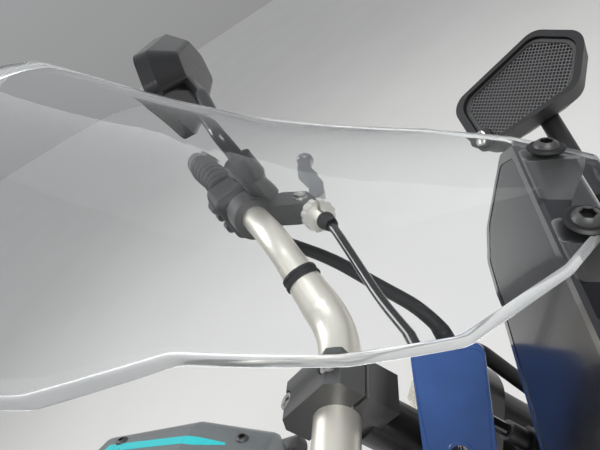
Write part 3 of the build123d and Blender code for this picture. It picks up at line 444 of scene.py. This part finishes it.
def fasteners():
    """Bolts and screws, a piece a row: name, body, slot, head, its radius and height, spots."""
    clamp = [(steered(BAR_AHEAD + step * CLAMP_BOLT_STEP, side * CLAMP_BOLT_SIDE, CLAMP_BOLT_UP), AXIS_UP)
             for step in (1, -1) for side in BOTH]
    upper = [(steered(PINCH_AHEAD, side * PINCH_SIDE, UPPER_PINCH_UP), LEFT * side) for side in BOTH]
    lower_ahead, lower_side = PINCH_AHEAD - LOWER_PINCH_BACK, PINCH_SIDE + LOWER_PINCH_OUT
    lower = [(steered(lower_ahead, side * lower_side, level), LEFT * side)
             for level in LOWER_PINCH_UPS for side in BOTH]
    pivot = [(at_lever(PIVOT_AHEAD, PIVOT_UP, PIVOT_IN, side), flip(LEVER_UP, side)) for side in BOTH]
    nut = [(at_lever(PIVOT_AHEAD, -PIVOT_UP, PIVOT_IN, side), -flip(LEVER_UP, side)) for side in BOTH]
    ends = [(at_handle(0, 0, WEIGHT_FACE_IN, side), -flip(INBOARD, side)) for side in BOTH]
    lid = [(at_lever(*RESERVOIR_AT, -1) + Vector((0, step * LID_SCREW_STEP, LID_UP)), UP)
           for step in (1, -1)]
    panel = [surface(f"tank_side_{word}", x, side * y) for word, side in SIDES for x, y in PANEL_SCREWS]
    stay = [(flip(STAY_BOLT, side), LEFT * side) for side in BOTH]
    lamps = [(flip((LAMP_BACK_X, LAMP_Y + step, LAMP_Z), side), -AHEAD)
             for side in BOTH for step in (-LAMP_BOLT_STEP, LAMP_BOLT_STEP)]
    return (
        ("clamp_bolts", "steering", "bright_steel", socket_head, 5.9, 8.4, clamp),
        ("upper_pinch_bolts", "steering", "bright_steel", socket_head, 5.0, 7.0, upper),
        ("lower_pinch_bolts", "steering", "bright_steel", socket_head, 5.0, 7.0, lower),
        ("lever_pivots", "steering", "bright_steel", hex_head, 4.6, 4.5, pivot),
        ("lever_pivot_nuts", "steering", "bright_steel", hex_head, 4.6, 5.0, nut),
        ("bar_end_screws", "steering", "bright_steel", button_head, 4.4, 3.2, ends),
        ("lid_screws", "steering", "bright_steel", button_head, 2.8, 1.4, lid),
        ("screen_screws", "frame_side", "bracket_steel", button_head, 5.0, 3.4, screen_screw_spots()),
        ("panel_screws", "frame_side", "bracket_steel", button_head, 5.4, 2.6, panel),
        ("stay_bolts", "frame_side", "bright_steel", hex_head, 5.6, 6.0, stay),
        ("lamp_bolts", "frame_side", "bracket_steel", button_head, 4.6, 3.4, lamps))


def add_fasteners():
    for name, body, slot, head, radius, height, spots in fasteners():
        turned(name, body, slot, spots, head(radius, height))


# Turned shapes, as (radius, height) corners in millimetres
CRIMP = ((4.1, 0), (7.6, 0), (7.6, 6), (5.9, 6.5), (5.9, 9), (5.4, 9.5), (5.4, 11), (5.9, 11.5),
         (5.9, 14), (5.4, 14.5), (5.4, 16), (5.9, 16.5), (5.9, 20), (4.1, 20.6))
BAND = ((12.9, 0), (13.9, 0.2), (14.0, 2.2), (13.4, 2.6), (13.4, 5.2), (13.8, 5.6), (13.5, 7.8), (12.2, 8))
SLEEVE = ((5.7, 0), (8.2, 0), (8.4, 4), (7.2, 5), (7.2, 7), (7.9, 8), (7.9, 11), (7.0, 12), (5.7, 13))
WASHER = ((0, 0), (7.0, 0), (7.2, 0.6), (6.2, 1.3), (0, 1.3))
BOOT_AT, HOSE_START_AT = (44, 0, 240), (18, -4, 238)    # in the lever's frame
BAND_ALONG = 0.046                      # metres up the bar's rise
WASHER_SINK = 0.0001                    # metres into the screen


def boot_corners():
    """Cable boot with three folds, each narrower than the one before."""
    corners = [(3.7, 0), (7.2, 0)]
    for fold in range(3):
        corners += [(7.2 - 0.7 * fold, 2 + 4 * fold), (5.4 - 0.3 * fold, 3 + 4 * fold),
                    (5.4 - 0.3 * fold, 3.6 + 4 * fold), (6.6 - 0.7 * fold, 4.6 + 4 * fold)]
    return corners


def add_turned():
    """Bands, boot, hose crimps, sleeve and washers."""
    rise = (BAR_RISE - BAR_NECK).normalized()
    bands = [(flip(BAR_NECK + rise * BAND_ALONG, side), flip(rise, side)) for side in BOTH]
    boot = [(at_lever(*BOOT_AT, 1), INBOARD)]
    hose_start = [(at_lever(*HOSE_START_AT, -1), flip(INBOARD, -1))]
    hose_end, conduit_end = ([(steered(HOSE_AHEAD, side * FORK_HALF, HOSE_LOW), AXIS_UP)]
                             for side in (-1, 1))
    for name, slot, spots, corners in (
            ("bar_bands", "grip_rubber", bands, BAND),
            ("cable_boot", "grip_rubber", boot, boot_corners()),
            ("hose_crimp_upper", "bright_steel", hose_start, CRIMP),
            ("hose_crimp_lower", "bright_steel", hose_end, CRIMP),
            ("conduit_sleeve", "hose_rubber", conduit_end, SLEEVE)):
        turned(name, "steering", slot, spots, plain(corners), steps=36)
    washers = [(place - normal * WASHER_SINK, normal) for place, normal in screen_screw_spots()]
    turned("screen_washers", "frame_side", "socket_rubber", washers, plain(WASHER))


KNURL_FROM, KNURL_LENGTH = 57.0, 11.0   # millimetres from the bar's middle, beside each clamp
KNURL_STEPS, KNURL_ROWS = 96, 12
KNURL_DEPTH, KNURL_EDGE = 0.28, 0.02    # lift of its ridges and of its two edges, in millimetres


def add_knurls():
    """Rolled diamond pattern on the bar, just outside each clamp."""
    def build(bm):
        for side in BOTH:
            rings = []
            for row in range(KNURL_ROWS + 1):
                left = side * (KNURL_FROM + KNURL_LENGTH * row / KNURL_ROWS)
                ring = []
                for k in range(KNURL_STEPS):
                    lift = KNURL_EDGE if row in (0, KNURL_ROWS) else KNURL_DEPTH * ((k + row) % 2)
                    angle = 2 * math.pi * k / KNURL_STEPS
                    around = AXIS_AHEAD * math.cos(angle) + AXIS_UP * math.sin(angle)
                    out = around * (BAR_MIDDLE_R + lift) * MM
                    ring.append(bm.verts.new(steered(BAR_AHEAD, left, BAR_UP) + out))
                rings.append(ring)
            stitch(bm, rings)
    piece("bar_knurls", build, "steering", "bar_alloy")


# Stripe along the tank's side panels: (x, y) of its front and rear ends and its width, in millimetres
STRIPE_FRONT, STRIPE_REAR, STRIPE_WIDTH = (-108.0, 76.0), (-226.0, 92.0), 9.0
STRIPE_STEPS, STRIPE_ACROSS = 30, (-0.5, -0.17, 0.17, 0.5)
STRIPE_TIP, STRIPE_TAPER = 0.25, 4      # share of its width at the front, and how fast it widens
STRIPE_LIFT = 0.00015                   # metres


def add_stripes():
    """Painted stripe that follows each side panel's top."""
    for word, side in SIDES:
        def build(bm):
            rows = []
            for k in range(STRIPE_STEPS + 1):
                share = k / STRIPE_STEPS
                width = STRIPE_WIDTH * min(1, STRIPE_TIP + STRIPE_TAPER * share)
                x, y = (a + (b - a) * share for a, b in zip(STRIPE_FRONT, STRIPE_REAR))
                row = []
                for across in STRIPE_ACROSS:
                    point, normal = surface(f"tank_side_{word}", x, side * (y + across * width))
                    row.append(bm.verts.new(point + normal * STRIPE_LIFT))
                rows.append(row)
            stitch(bm, rows, closed=False)
        piece(f"tank_stripe_{word}", build, "frame_side", "panel_grey", stripe_look)


# Button caps in the handle's frame, in millimetres
BUTTONS = ((-17.0, 9.0, 14.0), (-3.0, 8.0, 12.0), (8.0, 6.0, 20.0))     # up, height and width of a pad
BUTTON_MIDDLE, BUTTON_MARGIN = 147.0, 1.6       # inboard, and from a pad's edge
BUTTON_BACK, BUTTON_FRONT, BUTTON_SLOPE = -23.9, -24.9, 0.3
RIBS, RIB_SHARE = 5, 0.8
STOP_BUTTON = ("right", 3)


def add_rib(bm, side, low, high, near, far):
    """Bevelled bar between two heights and two places inboard."""
    corners = []
    for ahead, slope in ((BUTTON_BACK, 0), (BUTTON_FRONT, BUTTON_SLOPE)):
        for up, inboard in ((low + slope, near + slope), (high - slope, near + slope),
                            (high - slope, far - slope), (low + slope, far - slope)):
            corners.append(bm.verts.new(at_handle(ahead, up, inboard, side)))
    back, front = corners[:4], corners[4:]
    bm.faces.new(front)
    bm.faces.new(back[::-1])
    stitch(bm, [back, front])


def add_buttons():
    """Ribbed caps on the switch housings' pads, the engine's stop in red."""
    for word, side in SIDES:
        for number, (up, height, width) in enumerate(BUTTONS, 1):
            room = width - 2 * BUTTON_MARGIN

            def build(bm):
                for rib in range(RIBS):
                    near = BUTTON_MIDDLE - width / 2 + BUTTON_MARGIN + rib * room / RIBS
                    far = near + RIB_SHARE * room / RIBS
                    add_rib(bm, side, up + BUTTON_MARGIN, up + height - BUTTON_MARGIN, near, far)
            look = stop_red_look if (word, number) == STOP_BUTTON else button_look
            piece(f"button_{word}_{number}", build, "steering", "switch_plastic", look)


LAMP_BOWL = ((5.4, 12.8), (17, 13.6), (23, 16.2), (28.5, 23.5), (33.6, 33.4), (34.3, 34.6), (34.3, 40.5))
LAMP_SOURCE = ((0, 12.2), (7.6, 12.2), (7.6, 15), (5.2, 15.4), (5.2, 20), (4.2, 23), (2.2, 24.6), (0, 25))


def add_lamp_insides():
    """Bright reflector bowl and a domed light source inside each headlamp."""
    for word, side in SIDES:
        spots = [(flip((LAMP_X, LAMP_Y, LAMP_Z), side), AHEAD)]
        turned(f"lamp_bowl_{word}", "frame_side", "bright_steel", spots, plain(LAMP_BOWL), steps=48)
        turned(f"lamp_source_{word}", "frame_side", "lamp_lens", spots, plain(LAMP_SOURCE))


# Scoops from the part's own values: the mouth's middle in metres, its normal, and its plan in millimetres
SCOOP_MIDDLE, SCOOP_NORMAL = (0.194, 0.246, 0.243), (-0.24, -0.45, 0.86)
SCOOP_ALONG = Vector((0.96, 0, 0.28)).normalized()
SCOOP_PLAN = ((-52, -27), (30, -33), (55, 0), (30, 33), (-52, 27))
SCOOP_CORNER_R = 15.0


def scoop_normal(side):
    return flip(SCOOP_NORMAL, side).normalized()


def scoop_point(side, ahead, out, above):
    """A point of a scoop's mouth, in metres."""
    normal = scoop_normal(side)
    steps = SCOOP_ALONG * ahead + normal.cross(SCOOP_ALONG) * out + normal * above
    return flip(SCOOP_MIDDLE, side) + steps * MM


def scoop_outline(share):
    """The mouth's plan at a share of its size."""
    return rounded([Vector(p) * share for p in SCOOP_PLAN], SCOOP_CORNER_R * share)


BOSS = ((0, 0), (7.5, 0), (7.5, 4.6), (6.6, 5.6), (0, 5.6))
BOSS_AHEAD, BOSS_OUT = -43.5, -17.5
BOSS_SINK, BOSS_BOLT_UP = 0.004, 0.0016     # metres below and above the mouth
BOSS_BOLT_R, BOSS_BOLT_HIGH = 4.2, 3.4


def add_scoop_bosses():
    """Round boss with a socket bolt at each scoop's rear corner."""
    for word, side in SIDES:
        normal = scoop_normal(side)
        place = scoop_point(side, BOSS_AHEAD, BOSS_OUT * side, 0)
        boss, bolt = [(place - normal * BOSS_SINK, normal)], [(place + normal * BOSS_BOLT_UP, normal)]
        head = socket_head(BOSS_BOLT_R, BOSS_BOLT_HIGH)
        turned(f"scoop_boss_{word}", "frame_side", "scoop_plastic", boss, plain(BOSS))
        turned(f"scoop_bolt_{word}", "frame_side", "bright_steel", bolt, head)


# Fly screen from the part's own values: three points of its underside's arc and its plan, from the bar
SCREEN_THICK, SCREEN_CROSS_R, SCREEN_CORNER_R = 4.0, 230.0, 12.0
SCREEN_LOW, SCREEN_MID, SCREEN_HIGH = Vector((172, 108)), Vector((80, 158)), Vector((-20, 252))
SCREEN_PLAN = ((176, 13), (150, 42), (118, 65), (88, 72), (50, 76), (20, 92), (-14, 100), (-34, 66))
SCREEN_MIDDLE = Vector((62, 0))
SCREEN_SHARES = (0.04, 0.2, 0.4, 0.6, 0.75, 0.87, 0.95)     # rings inside the edge, by share of the plan
SCREEN_STEP = 6                         # along the edge
RIM_ROUND, RIM_TURNS = 0.9, (90, 60, 30, 0)     # radius of its cut edges, and degrees of their rings
SEARCH_MARGIN, SEARCH_ROUNDS = 0.03, 34


def circle_centre(low, mid, high):
    """Centre of the circle through three points."""
    a, b = 2 * (mid - low), 2 * (high - low)
    c, d = mid.length_squared - low.length_squared, high.length_squared - low.length_squared
    cross = a.x * b.y - a.y * b.x
    return Vector(((c * b.y - d * a.y) / cross, (a.x * d - b.x * c) / cross))


def screen_shape():
    """Two functions: a plan point's height above the bar at a depth, and the sheet's ends at a y."""
    chord = (SCREEN_HIGH - SCREEN_LOW).normalized()
    square = Vector((chord.y, -chord.x))
    low, mid, high = (p + square * SCREEN_THICK for p in (SCREEN_LOW, SCREEN_MID, SCREEN_HIGH))
    centre = circle_centre(low, mid, high)
    radius = (low - centre).length
    axis = (low + high) / 2 - square * SCREEN_CROSS_R
    first, last = (math.atan2(p.y - centre.y, p.x - centre.x) for p in (low, high))
    margin = SEARCH_MARGIN * (last - first)

    def place(angle, y, depth):
        point = centre + Vector((math.cos(angle), math.sin(angle))) * radius
        out = (point - axis).dot(square) - depth
        return axis + chord * (point - axis).dot(chord) + square * math.sqrt(out * out - y * y)

    def height(x, y, depth):
        start, end = first - margin, last + margin
        for _ in range(SEARCH_ROUNDS):
            middle = (start + end) / 2
            if place(middle, y, depth).x > x:
                start = middle
            else:
                end = middle
        return place(start, y, depth).y

    def ends(y):
        return place(last, y, 0).x, place(first, y, 0).x
    return height, ends


def add_screen():
    """The screen as one smooth mesh with rounded cut edges, which carry a painted highlight."""
    height, ends = screen_shape()
    plan = [Vector(p) for p in SCREEN_PLAN] + [Vector((x, -y)) for x, y in SCREEN_PLAN[::-1]]
    outline = divided(rounded(plan, SCREEN_CORNER_R, steps=10), SCREEN_STEP)
    for p in outline:
        rear, front = ends(p.y)
        p.x = min(max(p.x, rear), front)
    turns = [math.radians(a) for a in RIM_TURNS]
    arc = [(RIM_ROUND * (1 - math.cos(a)), RIM_ROUND * (1 - math.sin(a))) for a in turns]
    rim = arc + [(inset, SCREEN_THICK - depth) for inset, depth in arc[::-1]]

    def build(bm):
        def ring(share, inset, depth):
            points = []
            for p in outline:
                at = SCREEN_MIDDLE + (p - SCREEN_MIDDLE) * (share - inset / (p - SCREEN_MIDDLE).length)
                points.append(bm.verts.new(from_bar(at.x, at.y, height(at.x, at.y, depth))))
            return points
        rings = [ring(share, 0, 0) for share in SCREEN_SHARES] + [ring(1, *spot) for spot in rim]
        rings += [ring(share, 0, SCREEN_THICK) for share in SCREEN_SHARES[::-1]]
        stitch(bm, rings)
        for end in (rings[0], rings[-1]):
            bm.faces.new(end)
    screen = piece("fly_screen", build, "frame_side", "screen_clear")
    # The rim faces get the pale edge look, a painted highlight
    screen.data.materials.append(painted_edge_highlight_look)
    start = len(SCREEN_SHARES)
    end = start + len(rim) - 1
    for face in screen.data.polygons[start * len(outline):end * len(outline)]:
        face.material_index = 1
    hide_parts("windscreen")


# Key tag: its axes, and its hole, corners and raised rims in millimetres
TAG_ALONG = Vector((0.29, 0.50, 0.81)).normalized()         # from the ring to the tag's far end
TAG_ACROSS = Vector((-0.93, 0.01, 0.33))
TAG_HOLE_R, TAG_HOLE_IN, TAG_CORNER_R = 5.0, 7.0, 6.0
TAG_RIM, TAG_EYE_RIM, TAG_STEP = 2.6, 1.8, 0.55
TAG_BEVEL, TAG_EYE_BEVEL = 0.5, 0.4
TAG_RUN = 4                             # along the edge


def add_tag():
    """Blank key tag with a raised rim round its edge and its eye."""
    normal = TAG_ALONG.cross(TAG_ACROSS).normalized()
    axes = (TAG_ALONG, normal.cross(TAG_ALONG), normal)
    spans = [[v.co.dot(axis) / MM for v in nodes["key_tag"].data.vertices] for axis in axes]
    middle = [(min(s) + max(s)) / 2 for s in spans]
    length, width, thick = (max(s) - min(s) for s in spans)
    half, low = thick / 2, thick / 2 - TAG_STEP
    eye = Vector((TAG_HOLE_IN - length / 2, 0))
    corners = [Vector((x * length / 2, y * width / 2)) for x, y in ((-1, -1), (1, -1), (1, 1), (-1, 1))]
    outline = divided(rounded(corners, TAG_CORNER_R, steps=8), TAG_RUN)
    # One face as (inset from the edge, or radius round the eye, height)
    face = [(0, 0, half - TAG_BEVEL), (TAG_BEVEL, 0, half), (TAG_RIM, 0, half),
            (TAG_RIM + TAG_BEVEL, 0, low), (0, TAG_HOLE_R + TAG_EYE_RIM + TAG_EYE_BEVEL, low),
            (0, TAG_HOLE_R + TAG_EYE_RIM, half), (0, TAG_HOLE_R + TAG_EYE_BEVEL, half),
            (0, TAG_HOLE_R, half - TAG_EYE_BEVEL)]

    def build(bm):
        def ring(inset, radius, up):
            points = []
            for p in outline:
                way = p - eye
                at = eye + way.normalized() * (radius or way.length - inset)
                parts = zip(axes, (at.x, at.y, up), middle)
                points.append(bm.verts.new(sum((axis * (m + c) for axis, c, m in parts), Vector()) * MM))
            return points
        rings = [ring(*spot) for spot in face] + [ring(a, b, -c) for a, b, c in face[::-1]]
        stitch(bm, rings + rings[:1])
    tag = piece("blank_tag", build, "steering", "tag_clear")
    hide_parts("key_tag")


# Grilles in the scoops' mouths, in millimetres; the rim's corners are (share of the plan, height)
GRILLE_RIM = ((0.80, -5.8), (0.80, -3.9), (0.812, -3.2), (0.866, -3.2), (0.876, -3.9), (0.876, -5.8))
GRILLE_INNER = 0.81                         # share of the plan that the wires reach
MESH_PITCH, MESH_WIRE, MESH_DEPTH = 2.6, 0.42, 4.4
MESH_TURNS, MESH_REACH = (45, -45), 30      # degrees, and wires tried on each side of the middle
WIRE_CORNERS = range(45, 360, 90)           # degrees round a wire's section


def crossings(outline, way, normal, offset):
    """Where a line along a way crosses an outline, as distances along it."""
    cuts = []
    for a, b in zip(outline, outline[1:] + outline[:1]):
        da, db = a.dot(normal) - offset, b.dot(normal) - offset
        if (da < 0) != (db < 0):
            cuts.append(a.lerp(b, da / (da - db)).dot(way))
    return cuts


def add_wire(bm, side, way, normal, offset, start, end, first_up):
    """One wire, passing over and under the wires that cross it."""
    count = max(2, round((end - start) / MESH_PITCH))
    rings = []
    for k in range(count + 1):
        along = start + (end - start) * k / count
        crossing = math.floor(along / MESH_PITCH + 0.5)
        lift = MESH_WIRE * (0.5 if (crossing % 2 == 0) == first_up else -0.5)
        centre = way * along + normal * offset
        ring = []
        for angle in WIRE_CORNERS:
            at = centre + normal * MESH_WIRE * math.cos(math.radians(angle))
            up = lift - MESH_DEPTH + MESH_WIRE * math.sin(math.radians(angle))
            ring.append(bm.verts.new(scoop_point(side, at.x, at.y, up)))
        rings.append(ring)
    stitch(bm, rings)
    bm.faces.new(rings[0])
    bm.faces.new(rings[-1])


def add_grilles():
    """Woven wire in a rounded rim, in each scoop's mouth."""
    inner = scoop_outline(GRILLE_INNER)
    for word, side in SIDES:
        def build(bm):
            rings = [[bm.verts.new(scoop_point(side, p.x, p.y, height)) for p in scoop_outline(share)]
                     for share, height in GRILLE_RIM]
            stitch(bm, rings + rings[:1])
            for turn in MESH_TURNS:
                way = Vector((math.cos(math.radians(turn)), math.sin(math.radians(turn))))
                normal = Vector((-way.y, way.x))
                for k in range(-MESH_REACH, MESH_REACH + 1):
                    offset = k * MESH_PITCH
                    cuts = crossings(inner, way, normal, offset)
                    if len(cuts) == 2:
                        first_up = k % 2 == (turn > 0)
                        add_wire(bm, side, way, normal, offset, min(cuts), max(cuts), first_up)
        grille = piece(f"grille_{word}", build, "frame_side", "grille_black")
        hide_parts(f"side_grille_{word}")


# Stage: pale floor and soft light, in metres and watts
FLOOR_SIZE, FLOOR_DROP = 14, 0.25       # the drop is below the part
FLOOR_DARK, FLOOR_LIGHT, FLOOR_ROUGH = (0.72, 0.71, 0.69), (0.79, 0.78, 0.76), 0.85
WORLD_BELOW, WORLD_ABOVE, WORLD_STRENGTH = (0.50, 0.50, 0.50), (0.92, 0.94, 0.97), 0.55
WORLD_START, WORLD_END = -0.2, 0.9      # heights between which the world's colour changes
LAMPS = (                               # place, size, watts, seen in reflections
    ((0.9, -0.9, 1.7), 1.1, 24, True),
    ((-1.4, 0.7, 1.5), 1.0, 18, True),
    ((0.5, 1.6, 1.6), 1.2, 14, False))


def add_stage():
    bpy.ops.mesh.primitive_plane_add(size=FLOOR_SIZE, location=(0, 0, cad_box[0][2] - FLOOR_DROP))
    floor = bpy.context.object
    floor.name = "floor"
    material, tree, shader = new_material("floor_pale")
    place = tree.nodes.new("ShaderNodeTexCoord").outputs["Object"]
    tone = blend_colours(tree, noise(tree, place, scale=3, detail=3), FLOOR_DARK, FLOOR_LIGHT)
    tree.links.new(tone, shader.inputs["Base Color"])
    shader.inputs["Roughness"].default_value = FLOOR_ROUGH
    floor.data.materials.append(material)


def add_light():
    world = bpy.data.worlds.new("soft_room")
    bpy.context.scene.world = world
    world.use_nodes = True
    tree = world.node_tree
    background = tree.nodes["Background"]
    place = tree.nodes.new("ShaderNodeTexCoord")
    parts = tree.nodes.new("ShaderNodeSeparateXYZ")
    tree.links.new(place.outputs["Generated"], parts.inputs["Vector"])
    height = spread(tree, parts.outputs["Z"], 0.0, 1.0, WORLD_START, WORLD_END)
    tree.links.new(blend_colours(tree, height, WORLD_BELOW, WORLD_ABOVE), background.inputs["Color"])
    background.inputs["Strength"].default_value = WORLD_STRENGTH
    for place, size, watts, shown in LAMPS:
        data = bpy.data.lights.new("soft_lamp", "AREA")
        data.size = size
        data.energy = watts
        lamp = bpy.data.objects.new("soft_lamp", data)
        lamp.location = place
        lamp.rotation_euler = (BAR_CENTRE - Vector(place)).to_track_quat("-Z", "Y").to_euler()
        lamp.visible_glossy = shown
        bpy.context.scene.collection.objects.link(lamp)


# The photograph's camera
PHOTO_WIDTH, FOCAL_PIXELS = 600.0, 564.0    # pixels
SENSOR_WIDTH = 36.0                         # millimetres
CLIP_START = 0.005                          # metres
CAMERA_PLACE = (150.0, -175.5, 242.5)       # from the bar's centre, in millimetres
CAMERA_RIGHT = Vector((0.8400, 0.0885, -0.5354))
CAMERA_UP = Vector((0.3939, 0.5792, 0.7137))


def add_camera():
    data = bpy.data.cameras.new("photo_view")
    data.sensor_width = SENSOR_WIDTH
    data.lens = SENSOR_WIDTH * FOCAL_PIXELS / PHOTO_WIDTH
    data.clip_start = CLIP_START
    camera = bpy.data.objects.new("photo_view", data)
    right = CAMERA_RIGHT.normalized()
    up = (CAMERA_UP - right * CAMERA_UP.dot(right)).normalized()
    turn = Matrix((right, up, right.cross(up))).transposed().to_4x4()
    camera.matrix_world = Matrix.Translation(from_bar(*CAMERA_PLACE)) @ turn
    bpy.context.scene.collection.objects.link(camera)
    bpy.context.scene.camera = camera


add_fasteners()
add_turned()
add_knurls()
add_stripes()
add_buttons()
add_lamp_insides()
add_scoop_bosses()
add_screen()
add_tag()
add_grilles()
add_stage()
add_light()
add_camera()
bpy.context.scene.view_settings.view_transform = "Standard"
